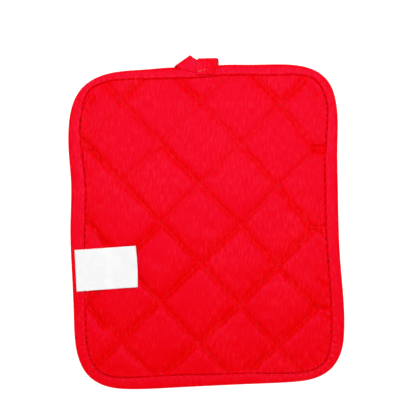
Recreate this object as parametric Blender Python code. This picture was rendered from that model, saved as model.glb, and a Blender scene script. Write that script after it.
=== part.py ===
"""A quilted pot holder with a bound edge, a hanging loop and a side label.

It lies flat on its back: X runs across it, Y towards its hanging loop and Z
up. The origin is on the floor, under the middle of the whole thing with its
loop. All sizes are in millimetres, and add_solid turns them into metres.
"""

import math

import bmesh
import bpy
import numpy as np
from mathutils import Vector
from mathutils.bvhtree import BVHTree
from mathutils.geometry import delaunay_2d_cdt

MM = 0.001
GAP = 0.3  # left between pieces that lie on each other

# Where the middle of the quilted field lies, seen from the origin. Every x and
# y below is measured from that middle.
FIELD_MIDDLE = (-1.27, -3.62)

# The outer edge, a row for each stretch of it, anticlockwise from the middle of
# the bottom side. The edge is lowest at the corners that lie flat and highest
# where the hanging loop passes under it.
EDGE = [
    # x, y, visible width of the binding, height of the edge's middle
    (0.0, -121.5, 8.7, 2.8),
    (34.0, -121.3, 8.1, 2.7),
    (62.1, -121.0, 6.9, 2.9),
    (79.8, -118.6, 6.6, 3.1),
    (92.0, -112.0, 7.3, 3.1),
    (99.8, -100.6, 8.8, 2.9),
    (103.1, -84.1, 9.7, 2.8),
    (103.6, -63.0, 9.6, 2.8),
    (102.4, -35.0, 9.2, 2.7),
    (101.9, -10.0, 9.4, 2.8),
    (102.5, 25.0, 9.6, 2.7),
    (103.3, 56.0, 9.0, 2.8),
    (104.3, 78.0, 7.6, 3.0),
    (103.2, 91.6, 7.0, 3.3),
    (99.7, 103.0, 7.0, 3.4),
    (92.0, 112.1, 6.2, 3.3),
    (79.5, 117.8, 6.8, 3.0),
    (61.0, 120.1, 8.2, 2.9),
    (38.0, 120.6, 7.7, 3.3),
    (18.0, 121.1, 7.9, 3.9),
    (0.0, 120.1, 7.8, 3.9),
    (-21.0, 120.7, 8.3, 3.9),
    (-38.0, 120.1, 7.4, 3.3),
    (-59.0, 119.3, 6.4, 2.9),
    (-75.5, 115.9, 5.5, 3.1),
    (-88.1, 108.1, 5.7, 3.4),
    (-95.7, 96.4, 7.9, 3.3),
    (-99.6, 80.0, 8.6, 3.0),
    (-100.5, 62.0, 9.7, 2.8),
    (-99.6, 37.0, 10.8, 2.7),
    (-101.4, 2.0, 10.8, 2.8),
    (-101.5, -33.0, 9.8, 2.8),
    (-101.4, -66.0, 8.8, 2.8),
    (-100.8, -87.0, 8.7, 2.9),
    (-97.6, -100.7, 8.5, 3.1),
    (-91.1, -111.1, 8.3, 3.1),
    (-79.7, -118.4, 8.3, 2.9),
    (-61.1, -121.7, 8.9, 2.8),
    (-31.0, -121.9, 9.6, 2.7),
]
EDGE_STATIONS = 120
EDGE_SAMPLES = 840
CURVE_STEPS = 40  # between two rows, before the curve is evened out

# The binding: a tape folded over the raw edge.
BINDING_HALF = 2.4  # from the edge's middle height to the tape's outside
BINDING_CLOTH = 0.9
NOSE_DEPTH = 1.6  # how far in from the edge the tape starts to round over
NOSE_SHOULDER = (0.4, 0.9)  # in from the edge and down from the tape's outside

# The quilted pad.
PAD_EDGE_HALF = 1.2  # half its thickness where the binding grips it
PAD_SEAM_HALF = 1.3  # and along a quilting seam
PAD_PUFF_HALF = 4.2  # and at the crown of a diamond
PAD_MIDDLE_HEIGHT = 3.4
PAD_INSET = BINDING_CLOTH + GAP + 0.4  # the binding's outside to the pad's raw edge
SEAM_SIDES = [
    # how far from a seam the filling is still drawn down, and for what share of its height
    (2.8, 0.72),
    (9.0, 0.28),
]
CROWN_DISTANCE = 21.0  # from a diamond's crown to each of its four seams
BINDING_REACH = 5.0  # and how far from the binding's seam
EDGE_BLEND = 26.0  # how far in from the edge its height still tells

# The quilting. Its seams zigzag between nodes, every other crossing of these
# columns and rows, and the whole grid is turned a little on the cloth.
QUILT_MIDDLE = np.array((-3.0, 0.9))
ROW_TURN = math.radians(-3.1)
COLUMN_TURN = math.radians(-2.2)
OUTER_COLUMN = 5
COLUMNS = [-147.0, -117.0, -87.5, -60.4, -30.1, 0.0, 30.6, 58.2, 87.9, 118.0, 148.0]
ROWS = [-150.0, -120.0, -89.8, -61.2, -30.0, 0.0, 30.4, 60.7, 92.9, 123.0, 153.0]
LAST_COLUMN = 3  # the seams turn back here, short of the right side
STRAYS = [
    # column, row, how far the node has strayed in x and in y
    (-3, -4, -0.6, 0.6),
    (-3, -2, 0.1, 0.4),
    (-3, 0, 1.2, 1.7),
    (-3, 2, -0.2, 0.0),
    (-2, -3, -0.6, 0.2),
    (-2, -1, 1.6, 0.5),
    (-2, 1, 1.6, 0.7),
    (-2, 3, 0.1, 0.8),
    (-1, -4, -1.6, 1.8),
    (-1, -2, 0.0, 2.5),
    (-1, 0, 0.4, 0.9),
    (-1, 2, 0.1, 0.3),
    (-1, 4, -0.9, 0.7),
    (0, -3, -1.5, -0.1),
    (0, -1, -0.1, 0.5),
    (0, 3, -0.2, 0.8),
    (1, -4, -2.4, 0.3),
    (1, -2, -0.7, 1.0),
    (1, 0, -0.1, -0.2),
    (1, 2, 0.1, 0.4),
    (1, 4, 1.0, -0.2),
    (2, -3, -0.2, -1.3),
    (2, -1, 0.3, -0.7),
    (2, 1, 0.1, -0.9),
    (2, 3, 2.7, -0.5),
    (3, -4, -1.3, -1.2),
    (3, -2, 0.2, -0.9),
    (3, 0, -2.4, -2.4),
    (3, 2, -1.2, -3.3),
    (3, 4, 0.9, -1.0),
]
SLACK_RUNS = [
    # a run's left column, its left row, its right row, how tightly its thread is drawn
    (-3, 2, 3, 0.25),
    (-1, 2, 3, 0.3),
    (1, 2, 3, 0.45),
    (-2, 1, 2, 0.5),
    (0, 1, 2, 0.5),
    (2, 1, 2, 0.45),
    (-3, 0, 1, 0.2),
    (-1, 0, 1, 0.45),
    (1, 0, 1, 0.6),
    (0, -1, 0, 0.8),
    (2, -1, 0, 0.75),
]
# Where points stand across each diamond, close together beside the seams, and
# on the rings just inside the binding.
DIAMOND_STEPS = [0.0, 0.045, 0.13, 0.32, 0.5, 0.68, 0.87, 0.955, 1.0]
RINGS_PAST_BINDING = [GAP, 1.9, 4.6]
RING_CLEARANCE = 2.6
SAME_PLACE = 0.01

# The hanging loop: a tape with both ends sewn on the front of the binding and
# its middle turned behind. A rule is a line across the tape from its edge on
# the loop's inside to its edge on the loop's outside.
TAPE = 1.0
FLOOR_HEIGHT = TAPE / 2
FRONT_RIGHT = [
    # inside x, y and height, outside x, y and height
    (-2.0, 114.4, 8.5, 12.4, 114.2, 7.1),
    (-1.6, 118.0, 8.5, 13.2, 117.8, 7.1),
    (-0.9, 121.5, 8.4, 13.7, 121.3, 7.1),
    (-0.3, 124.3, 8.2, 14.0, 124.1, 7.0),
]
BACK_RIGHT = [
    (1.0, 124.0, FLOOR_HEIGHT, 15.9, 124.2, FLOOR_HEIGHT),
    (2.4, 119.5, FLOOR_HEIGHT, 15.9, 119.5, FLOOR_HEIGHT),
    (4.2, 114.5, FLOOR_HEIGHT, 15.6, 114.5, FLOOR_HEIGHT),
]
BACK_LEFT = [
    (-5.4, 114.5, FLOOR_HEIGHT, -17.0, 114.5, FLOOR_HEIGHT),
    (-5.3, 119.2, FLOOR_HEIGHT, -17.2, 116.6, FLOOR_HEIGHT),
    (-5.6, 126.6, FLOOR_HEIGHT, -17.4, 118.8, FLOOR_HEIGHT),
]
FRONT_LEFT = [
    (-4.0, 127.6, 7.1, -15.6, 120.25, 7.1),
    (-2.6, 126.7, 7.1, -11.5, 118.6, 7.1),
    (-0.9, 125.6, 7.1, -7.0, 117.0, 7.1),
    (0.8, 124.4, 7.1, -2.9, 115.9, 7.1),
    (2.4, 123.2, 7.0, 0.4, 115.4, 7.0),
]
FOLD_RULES = 5
FOLD_REACH = 2.0  # how far the tape bulges out where it turns behind
FOLD_SQUARENESS = 2.6  # the power of the fold's rounded outline; 2 is an ellipse
TURN_MIDDLE = (-0.3, 109.5)
TURN_RULES = 9
TURN_INSIDE = 5.0
TURN_OUTSIDE = [15.8, 14.4, 13.8, 14.6, 16.7]  # right, round the bottom, to left
TAPE_CLEARANCE = 1.4  # the height of the pad's underside over the tape
TAPE_SHADOW = 10.0  # how far past the tape the underside stays that high

# The label: a short length of satin ribbon, caught in the binding's seam.
LABEL_CORNERS = [
    # x, y, how far the corner curls up
    (-98.4, -14.6, 0.0),
    (-52.1, -13.1, 1.2),
    (-51.7, -44.2, 1.6),
    (-98.0, -46.0, 0.2),
]
LABEL = 1.0
LABEL_CELLS = (14, 10)
LABEL_SETTLING = 60
LABEL_SAG = 0.02  # how far it sinks in each round of settling
LABEL_STIFFNESS = 2.0  # it bridges dips in what carries it that are narrower than this
LABEL_CURL_START = 0.45  # how far along the label it starts to curl up


def closed_curve(rows, count):
    """count rows, evenly spaced along the smooth closed curve through these."""
    rows = np.array(rows)
    ahead = np.roll(rows, -1, axis=0)
    span = np.linalg.norm((ahead - rows)[:, :2], axis=1)
    rise = (ahead - rows) / span[:, None]
    before = np.roll(span, 1)
    # Slopes that give a steady bend through each row.
    matrix = np.diag(2 / span + 2 / before)
    for row in range(len(rows)):
        matrix[row, row - 1] = 1 / before[row]
        matrix[row, (row + 1) % len(rows)] = 1 / span[row]
    target = 3 * (rise / span[:, None] + np.roll(rise, 1, axis=0) / before[:, None])
    slope = np.linalg.solve(matrix, target)
    points = []
    for row in range(len(rows)):
        following = (row + 1) % len(rows)
        for t in np.arange(CURVE_STEPS) / CURVE_STEPS:
            points.append(
                rows[row] * (1 + 2 * t) * (1 - t) ** 2
                + slope[row] * span[row] * t * (1 - t) ** 2
                + rows[following] * t**2 * (3 - 2 * t)
                - slope[following] * span[row] * t**2 * (1 - t)
            )
    points.append(points[0])
    points = np.array(points)
    length = np.linalg.norm(np.diff(points[:, :2], axis=0), axis=1)
    travelled = np.concatenate([[0], np.cumsum(length)])
    wanted = np.arange(count) * travelled[-1] / count
    columns = [np.interp(wanted, travelled, column) for column in points.T]
    return np.stack(columns, axis=1)


def inward(curve):
    """The unit normals of an anticlockwise closed curve, pointing inside it."""
    along = np.roll(curve, -1, axis=0) - np.roll(curve, 1, axis=0)
    normal = np.stack([-along[:, 1], along[:, 0]], axis=1)
    return normal / np.linalg.norm(normal, axis=1)[:, None]


def edge_near(places):
    """Each place's depth inside the edge, and the binding's width and the edge's height there."""
    curve = closed_curve(EDGE, EDGE_SAMPLES)
    away = places[:, None, :] - curve[None, :, :2]
    nearest = np.argmin((away**2).sum(axis=2), axis=1)
    reach = away[np.arange(len(places)), nearest]
    depth = (reach * inward(curve)[nearest]).sum(axis=1)
    return depth, curve[nearest, 2], curve[nearest, 3]


def quilt_node(column, row):
    """Where the quilting seams cross at this column and row."""
    across = np.array((math.cos(ROW_TURN), math.sin(ROW_TURN)))
    along = np.array((-math.sin(COLUMN_TURN), math.cos(COLUMN_TURN)))
    place = QUILT_MIDDLE + COLUMNS[column + OUTER_COLUMN] * across
    place = place + ROWS[row + OUTER_COLUMN] * along
    for stray_column, stray_row, stray_x, stray_y in STRAYS:
        if (stray_column, stray_row) == (column, row):
            place = place + (stray_x, stray_y)
    return place


def quilt_seams():
    """The seams' straight runs between nodes and the pleats beyond them: ends and tightness."""
    slack = {tuple(run[:3]): run[3] for run in SLACK_RUNS}
    seams = []
    for column in range(1 - OUTER_COLUMN, LAST_COLUMN):
        for row in range(1 - OUTER_COLUMN, OUTER_COLUMN):
            for next_row in (row - 1, row + 1):
                if (column + row) % 2 and abs(next_row) < OUTER_COLUMN:
                    ends = quilt_node(column, row), quilt_node(column + 1, next_row)
                    seams.append((*ends, slack.get((column, row, next_row), 1.0)))
    for row in (-2, 0, 2):
        tip = quilt_node(LAST_COLUMN, row)
        seams.append((tip, tip + (COLUMNS[-1] - COLUMNS[-2], 0), 1.0))
    return seams


def distance_to(places, start, end):
    """How far each place is from the straight run between two points."""
    run = end - start
    share = np.clip(((places - start) @ run) / (run @ run), 0, 1)
    return np.linalg.norm(places - start - share[:, None] * run, axis=1)


def drawn_down(distance, reach):
    """How much of the filling's height is left this far from a seam, from 0 to 1."""
    return 1 - np.exp(-np.maximum(distance, 0) / reach)


def smooth_step(value):
    value = np.clip(value, 0, 1)
    return value * value * (3 - 2 * value)


def pad_heights(places):
    """The heights of the pad's face and of its underside."""
    depth, width, edge_height = edge_near(places)
    puff = np.zeros(len(places))
    for reach, share in SEAM_SIDES:
        left = np.ones(len(places))
        for start, end, tightness in quilt_seams():
            lost = 1 - drawn_down(distance_to(places, start, end), reach)
            left = left * (1 - tightness * lost)
        puff = puff + share * left / drawn_down(CROWN_DISTANCE, reach) ** 4
    past_binding = depth - width - GAP
    puff = puff * drawn_down(past_binding, BINDING_REACH)
    flat_part = smooth_step(past_binding / BINDING_REACH)
    flat = PAD_EDGE_HALF + (PAD_SEAM_HALF - PAD_EDGE_HALF) * flat_part
    half = flat + (PAD_PUFF_HALF - PAD_SEAM_HALF) * puff
    inside = smooth_step(depth / EDGE_BLEND)
    middle = edge_height + (PAD_MIDDLE_HEIGHT - edge_height) * inside
    underside = np.maximum(middle - half, 0)
    over_tape = 1 - smooth_step((tape_distance(places) - TAPE_SHADOW) / TAPE_SHADOW)
    underside = np.maximum(underside, TAPE_CLEARANCE * over_tape)
    return middle + half, underside


def tape_distance(places):
    """How far each place is from the part of the loop that lies behind the pad."""
    distance = np.full(len(places), np.inf)
    for rule in BACK_RIGHT + turned_rules() + BACK_LEFT:
        ends = np.array(rule).reshape(2, 3)[:, :2]
        distance = np.minimum(distance, distance_to(places, ends[0], ends[1]))
    return distance


def unit(vector):
    return vector / np.linalg.norm(vector)


def turned_rules():
    """The rules round the loop's far end, from its right leg to its left leg."""
    rules = []
    middle = np.array(TURN_MIDDLE)
    for share in np.linspace(0, 1, TURN_RULES):
        outside = np.interp(share, np.linspace(0, 1, len(TURN_OUTSIDE)), TURN_OUTSIDE)
        angle = -math.pi * share
        ray = np.array((math.cos(angle), math.sin(angle)))
        ends = [(*(middle + ray * reach), FLOOR_HEIGHT) for reach in (TURN_INSIDE, outside)]
        rules.append(ends[0] + ends[1])
    return rules


def folded_rules(start, end, outward):
    """The rules round a fold that leads from one rule to the one above or below it."""
    start = np.array(start).reshape(2, 3)
    end = np.array(end).reshape(2, 3)
    rules = []
    for step in range(1, FOLD_RULES + 1):
        angle = math.pi * step / (FOLD_RULES + 1)
        swing = abs(math.sin(angle)) ** (2 / FOLD_SQUARENESS) * FOLD_REACH
        turn = math.cos(angle)
        share = 0.5 - 0.5 * math.copysign(abs(turn) ** (2 / FOLD_SQUARENESS), turn)
        ends = start + (end - start) * share
        ends[:, :2] += outward * swing
        rules.append(tuple(ends.ravel()))
    return rules


def loop_rules():
    """All rules along the tape, from its right end to its left end."""
    up = np.array((0.0, 1.0))
    fold_run = np.array(FRONT_LEFT[0]).reshape(2, 3)
    fold_run = unit((fold_run[1] - fold_run[0])[:2])
    up_left = np.array((fold_run[1], -fold_run[0]))
    return (
        FRONT_RIGHT
        + folded_rules(FRONT_RIGHT[-1], BACK_RIGHT[0], up)
        + BACK_RIGHT
        + turned_rules()
        + BACK_LEFT
        + folded_rules(BACK_LEFT[-1], FRONT_LEFT[0], up_left)
        + FRONT_LEFT
    )


def fabric(name, colour, roughness):
    """A matt cloth material."""
    material = bpy.data.materials.new(name)
    material.use_nodes = True
    surface = material.node_tree.nodes["Principled BSDF"]
    surface.inputs["Base Color"].default_value = (*colour, 1)
    surface.inputs["Roughness"].default_value = roughness
    surface.inputs["Metallic"].default_value = 0
    return material


def add_solid(name, points, faces, material, collection):
    """One closed body, from points in millimetres about the pad's middle."""
    mesh = bpy.data.meshes.new(name)
    points = (np.array(points) + (*FIELD_MIDDLE, 0)) * MM
    mesh.from_pydata(points.tolist(), [], [tuple(map(int, face)) for face in faces])
    body = bmesh.new()
    body.from_mesh(mesh)
    bmesh.ops.recalc_face_normals(body, faces=body.faces)
    body.to_mesh(mesh)
    body.free()
    mesh.shade_smooth()
    mesh.materials.append(material)
    solid = bpy.data.objects.new(name, mesh)
    collection.objects.link(solid)
    return solid


def loft(sections, closed):
    """Points and faces of a body whose sections all have the same number of points."""
    points = [point for section in sections for point in section]
    size = len(sections[0])
    rounds = len(sections) if closed else len(sections) - 1
    faces = []
    for row in range(rounds):
        near = row * size
        far = (row + 1) % len(sections) * size
        for side in range(size):
            following = (side + 1) % size
            faces.append((near + side, near + following, far + following, far + side))
    if not closed:
        faces.append(tuple(range(size)))
        faces.append(tuple(range(len(points) - size, len(points))))
    return points, faces


def sheet_body(upper, lower, triangles):
    """Points and faces of a body between two faces that share their triangles."""
    count = len(upper)
    faces = [tuple(face) for face in triangles]
    edges = {edge for a, b, c in faces for edge in ((a, b), (b, c), (c, a))}
    rim = [edge for edge in edges if (edge[1], edge[0]) not in edges]
    faces += [(c + count, b + count, a + count) for a, b, c in triangles]
    faces += [(b, a, a + count, b + count) for a, b in sorted(rim)]
    return np.concatenate([upper, lower]), faces


def pad_places():
    """Places for the pad's points, and the rings of edges among them."""
    stations = closed_curve(EDGE, EDGE_STATIONS)
    normals = inward(stations)
    insets = [np.full(EDGE_STATIONS, PAD_INSET)]
    insets += [stations[:, 2] + past for past in RINGS_PAST_BINDING]
    rings = [stations[:, :2] + normals * inset[:, None] for inset in insets]
    edges = []
    for number in range(len(rings)):
        first = number * EDGE_STATIONS
        edges += [(first + k, first + (k + 1) % EDGE_STATIONS) for k in range(EDGE_STATIONS)]
    grid = []
    for column in range(1 - OUTER_COLUMN, OUTER_COLUMN):
        for row in range(1 - OUTER_COLUMN, OUTER_COLUMN):
            if (column + row) % 2 == 0:
                grid += diamond_places(column, row)
    grid = np.array(grid)
    depth, width, _ = edge_near(grid)
    inside = grid[depth - width > RINGS_PAST_BINDING[-1] + RING_CLEARANCE]
    return np.concatenate(rings + [inside]), edges


def diamond_places(column, row):
    """The grid of places in one diamond, between its four nodes."""
    left = quilt_node(column - 1, row)
    top = quilt_node(column, row + 1)
    right = quilt_node(column + 1, row)
    bottom = quilt_node(column, row - 1)
    places = []
    for a in DIAMOND_STEPS:
        for b in DIAMOND_STEPS:
            lower = left + (bottom - left) * a
            upper = top + (right - top) * a
            places.append(lower + (upper - lower) * b)
    return places


def triangulate(places, edges):
    """The places, each one once, and the triangles between them inside the raw edge."""
    found = delaunay_2d_cdt([Vector(place) for place in places], edges, [], 0, SAME_PLACE)
    places = np.array([tuple(place) for place in found[0]])
    triangles = np.array(found[2])
    depth, _, _ = edge_near(places[triangles].mean(axis=1))
    return places, triangles[depth > PAD_INSET]


def add_pad(material, collection):
    """The front, filling and back, quilted together as one body."""
    places, triangles = triangulate(*pad_places())
    top, underside = pad_heights(places)
    upper = np.column_stack([places, top])
    lower = np.column_stack([places, underside])
    points, faces = sheet_body(upper, lower, triangles)
    return add_solid("quilted_pad", points, faces, material, collection)


def binding_section(width):
    """The tape's U section: how far in from the edge, and how far from the middle height."""
    outer = BINDING_HALF
    inner = BINDING_HALF - BINDING_CLOTH
    shoulder, drop = NOSE_SHOULDER
    return [
        (width, outer),
        (NOSE_DEPTH, outer),
        (shoulder, outer - drop),
        (0.0, 0.0),
        (shoulder, drop - outer),
        (NOSE_DEPTH, -outer),
        (width, -outer),
        (width, -inner),
        (BINDING_CLOTH + GAP, -inner),
        (BINDING_CLOTH + GAP, inner),
        (width, inner),
    ]


def add_binding(material, collection):
    """The tape folded over the pad's edge, all the way round."""
    stations = closed_curve(EDGE, EDGE_STATIONS)
    sections = []
    for station, normal in zip(stations, inward(stations)):
        section = []
        for inset, rise in binding_section(station[2]):
            place = station[:2] + normal * inset
            section.append((*place, station[3] + rise))
        sections.append(section)
    points, faces = loft(sections, closed=True)
    return add_solid("edge_binding", points, faces, material, collection)


def add_loop(material, collection):
    """The hanging loop, one length of tape."""
    rules = [np.array(rule).reshape(2, 3) for rule in loop_rules()]
    middles = [rule.mean(axis=0) for rule in rules]
    sections = []
    for number, rule in enumerate(rules):
        before = middles[max(number - 1, 0)]
        after = middles[min(number + 1, len(rules) - 1)]
        face = unit(np.cross(rule[1] - rule[0], after - before)) * TAPE / 2
        sections.append([rule[0] + face, rule[1] + face, rule[1] - face, rule[0] - face])
    points, faces = loft(sections, closed=False)
    return add_solid("hanging_loop", points, faces, material, collection)


def height_under(trees, place):
    """The height of the highest solid under this place."""
    high_above = 1
    start = Vector((*(np.array(place) + FIELD_MIDDLE) * MM, high_above))
    hits = [tree.ray_cast(start, Vector((0, 0, -1)))[0] for tree in trees]
    return max([hit.z / MM for hit in hits if hit], default=0.0)


def label_heights(places, carriers):
    """The heights of the label's middle, once it has settled on what carries it."""
    trees = []
    for carrier in carriers:
        mesh = carrier.data
        corners = [vertex.co for vertex in mesh.vertices]
        trees.append(BVHTree.FromPolygons(corners, [face.vertices for face in mesh.polygons]))
    rows, columns = places.shape[:2]
    support = np.zeros((rows, columns))
    steps = (-LABEL_STIFFNESS, 0, LABEL_STIFFNESS)
    for row in range(rows):
        for column in range(columns):
            nearby = [places[row, column] + (x, y) for x in steps for y in steps]
            highest = max(height_under(trees, place) for place in nearby)
            support[row, column] = highest + GAP + LABEL / 2
    heights = np.full((rows, columns), support.max())
    for _ in range(LABEL_SETTLING):
        padded = np.pad(heights, 1, mode="edge")
        around = padded[:-2, 1:-1] + padded[2:, 1:-1] + padded[1:-1, :-2] + padded[1:-1, 2:]
        heights = np.maximum(support, around / 4 - LABEL_SAG)
    return heights


def add_label(carriers, material, collection):
    """The bare label, lying over the binding and the pad beside it."""
    columns, rows = LABEL_CELLS
    top_left, top_right, bottom_right, bottom_left = np.array(LABEL_CORNERS)
    grid = np.zeros((rows + 1, columns + 1, 3))
    for row in range(rows + 1):
        for column in range(columns + 1):
            upper = top_left + (top_right - top_left) * column / columns
            lower = bottom_left + (bottom_right - bottom_left) * column / columns
            grid[row, column] = lower + (upper - lower) * row / rows
    heights = label_heights(grid[:, :, :2], carriers)
    share = np.arange(columns + 1) / columns
    curl = smooth_step((share - LABEL_CURL_START) / (1 - LABEL_CURL_START))
    heights = heights + grid[:, :, 2] * curl[None, :]
    middle = np.dstack([grid[:, :, :2], heights]).reshape(-1, 3)
    triangles = []
    for row in range(rows):
        for column in range(columns):
            corner = row * (columns + 1) + column
            above = corner + columns + 1
            triangles.append((corner, corner + 1, above + 1))
            triangles.append((corner, above + 1, above))
    half = (0, 0, LABEL / 2)
    points, faces = sheet_body(middle + half, middle - half, triangles)
    return add_solid("side_label", points, faces, material, collection)


def main():
    for thing in list(bpy.data.objects):
        bpy.data.objects.remove(thing)
    collection = bpy.data.collections.new("quilted_pot_holder")
    bpy.context.scene.collection.children.link(collection)
    red_cloth = fabric("red woven polyester", (0.76, 0.004, 0.020), 0.85)
    red_tape = fabric("red polyester tape", (0.80, 0.005, 0.026), 0.8)
    white_satin = fabric("white satin ribbon", (0.88, 0.88, 0.87), 0.5)
    pad = add_pad(red_cloth, collection)
    binding = add_binding(red_tape, collection)
    add_loop(red_tape, collection)
    add_label([pad, binding], white_satin, collection)


main()
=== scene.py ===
# %% [markdown]
# # A quilted pot holder
# A red pot holder lies flat on its back. Two layers of woven polyester with
# filling between them are quilted in diamonds, a folded tape binds the raw
# edge, a loop of the same tape is sewn to the top edge and a white satin label
# is caught in the left side. The solids of these four pieces are loaded first,
# as a fixed frame. Each of them is then replaced by a finer piece that fills
# the same space.

# %% Load the frame
import math

import bpy
import numpy as np
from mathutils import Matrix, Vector
from mathutils.bvhtree import BVHTree
from mathutils.geometry import delaunay_2d_cdt
from mathutils.kdtree import KDTree


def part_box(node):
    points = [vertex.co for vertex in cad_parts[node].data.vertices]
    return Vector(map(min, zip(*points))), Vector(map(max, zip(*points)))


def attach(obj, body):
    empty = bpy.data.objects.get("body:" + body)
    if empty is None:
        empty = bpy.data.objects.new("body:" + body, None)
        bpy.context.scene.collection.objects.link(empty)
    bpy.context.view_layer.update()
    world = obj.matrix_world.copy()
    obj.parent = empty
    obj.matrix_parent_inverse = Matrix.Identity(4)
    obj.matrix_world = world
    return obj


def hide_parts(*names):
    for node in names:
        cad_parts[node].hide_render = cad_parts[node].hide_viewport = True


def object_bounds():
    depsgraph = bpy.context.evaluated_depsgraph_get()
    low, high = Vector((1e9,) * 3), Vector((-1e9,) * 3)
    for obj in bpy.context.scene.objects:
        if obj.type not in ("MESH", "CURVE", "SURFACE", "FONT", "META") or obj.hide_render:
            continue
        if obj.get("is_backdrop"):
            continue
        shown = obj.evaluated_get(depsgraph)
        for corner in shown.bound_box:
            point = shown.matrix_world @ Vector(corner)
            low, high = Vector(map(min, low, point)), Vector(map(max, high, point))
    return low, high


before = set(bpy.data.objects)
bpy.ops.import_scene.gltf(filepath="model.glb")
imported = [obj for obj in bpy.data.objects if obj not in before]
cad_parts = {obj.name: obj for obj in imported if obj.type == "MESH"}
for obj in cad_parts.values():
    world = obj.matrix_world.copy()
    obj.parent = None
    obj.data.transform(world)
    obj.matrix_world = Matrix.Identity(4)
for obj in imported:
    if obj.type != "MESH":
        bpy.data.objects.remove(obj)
cad_low, cad_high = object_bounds()
for node_name in sorted(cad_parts):
    low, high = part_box(node_name)
    print(node_name, "mm:", [round(1000 * side, 1) for side in high - low])

# %% [markdown]
# ## Units and small helpers
# The sizes are written in millimetres, as a maker would, and turned into
# metres when a mesh is made. Places are measured from the middle of the
# quilted field, which lies a little below the middle of the whole, because
# the loop stands out at the top.

# %% Helpers for meshes
MM = 0.001
FIELD_MIDDLE = np.array((-1.27, -3.62))  # of the quilted field, in the frame
GAP = 0.3  # kept between pieces that lie on each other
RIPPLE_WAVES = [
    # how many times faster than the main wave, size
    (1.0, 0.55),
    (1.63, 0.3),
    (0.61, 0.3),
]
RIPPLE_SHIFT = 3.1  # radians by which a seed of 1 moves the waves along, and more for fast ones


def make_piece(name, points, faces, material):
    """A smooth-shaded mesh object, from points in millimetres about the field's middle."""
    mesh = bpy.data.meshes.new(name)
    placed = (np.asarray(points, float) + (*FIELD_MIDDLE, 0)) * MM
    mesh.from_pydata(placed.tolist(), [], np.asarray(faces).tolist())
    mesh.validate()
    mesh.shade_smooth()
    mesh.materials.append(material)
    piece = bpy.data.objects.new(name, mesh)
    bpy.context.scene.collection.objects.link(piece)
    print(name, "has", len(mesh.polygons), "faces")
    return piece


def grid_faces(rows, columns, rows_joined=False, columns_joined=False):
    """Four-sided faces between points stored row by row. Joined ones run on into the first."""
    faces = []
    for row in range(rows if rows_joined else rows - 1):
        for column in range(columns if columns_joined else columns - 1):
            here, below = row * columns, (row + 1) % rows * columns
            ahead = (column + 1) % columns
            faces.append((here + column, here + ahead, below + ahead, below + column))
    return faces


def smooth_step(value):
    """Eases in and out between 0 and 1, and stays there outside them."""
    value = np.clip(value, 0, 1)
    return value * value * (3 - 2 * value)


def ripple(along, length, seed):
    """An uneven wave of about -1 to 1 that repeats about every so many millimetres."""
    return sum(
        size * np.sin(2 * math.pi * along * rate / length + seed * (RIPPLE_SHIFT + rate))
        for rate, size in RIPPLE_WAVES
    )


# %% [markdown]
# ## The camera
# The photograph looks straight down at the face from some way off, so the lens
# is long. A camera without perspective would come close, but would lose the
# little that the picture has. The holder lies turned a little anticlockwise in
# it, which here is the camera turned the other way.

# %% Camera
PICTURE_WIDTH = 314.0  # across the picture, at the height of the face
PICTURE_MIDDLE = np.array((3.46, 13.27))  # from the field's middle
PICTURE_TURN = math.radians(-2.2)
CAMERA_HEIGHT = 900.0
FACE_HEIGHT = 6.0
SENSOR_WIDTH = 36

camera_data = bpy.data.cameras.new("camera above")
camera_data.sensor_width = SENSOR_WIDTH
camera_data.lens = SENSOR_WIDTH * (CAMERA_HEIGHT - FACE_HEIGHT) / PICTURE_WIDTH
camera = bpy.data.objects.new("camera above", camera_data)
camera.location = Vector((*(PICTURE_MIDDLE + FIELD_MIDDLE), CAMERA_HEIGHT)) * MM
camera.rotation_euler = (0, 0, PICTURE_TURN)
bpy.context.scene.collection.objects.link(camera)
bpy.context.scene.camera = camera
print("lens", round(camera_data.lens, 1), "mm")

# %% [markdown]
# ## Colours and nodes
# Colours are picked as on a screen, in sRGB, and Blender's nodes want linear
# light, so one function turns them. Another adds a node with its settings and
# its links, and every material below is built from it.

# %% Helpers for materials
def linear(colour):
    """A colour written as sRGB hex, in linear light with an alpha of 1."""
    parts = [int(colour[place : place + 2], 16) / 255 for place in (0, 2, 4)]
    return (*(p / 12.92 if p < 0.04045 else ((p + 0.055) / 1.055) ** 2.4 for p in parts), 1)


def add_node(material, kind, inputs, **settings):
    """Adds a node. An input takes a value, or another node's socket to link."""
    tree = material.node_tree
    node = tree.nodes.new(kind)
    for name, value in settings.items():
        setattr(node, name, value)
    for name, value in inputs.items():
        if isinstance(value, bpy.types.NodeSocket):
            tree.links.new(value, node.inputs[name])
        else:
            node.inputs[name].default_value = value
    return node


def new_material(name):
    """An empty node material. Each ends with an output node that shows its shader."""
    material = bpy.data.materials.new(name)
    material.use_nodes = True
    material.node_tree.nodes.clear()
    return material


# %% [markdown]
# ## The floor
# The holder lies on plain white paper, and a large plane does for it. A lit
# white plane would turn grey away from the lamp, so the paper also glows by
# itself and stays white right up to the holder. It is a stage, not a piece.

# %% Floor
FLOOR_SIZE = 4.0  # metres
FLOOR_GLOW = 1.1

floor_paper = new_material("matt white paper")
paper_shader = add_node(
    floor_paper, "ShaderNodeBsdfPrincipled",
    {"Base Color": linear("8C8C8C"), "Roughness": 0.9, "Specular IOR Level": 0.0,
     "Emission Color": linear("FFFFFF"), "Emission Strength": FLOOR_GLOW},
)
add_node(floor_paper, "ShaderNodeOutputMaterial", {"Surface": paper_shader.outputs["BSDF"]})
bpy.ops.mesh.primitive_plane_add(size=FLOOR_SIZE)
floor = bpy.context.object
floor.name = "floor"
floor.data.materials.append(floor_paper)
floor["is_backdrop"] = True
print("floor", FLOOR_SIZE, "m wide")

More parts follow.
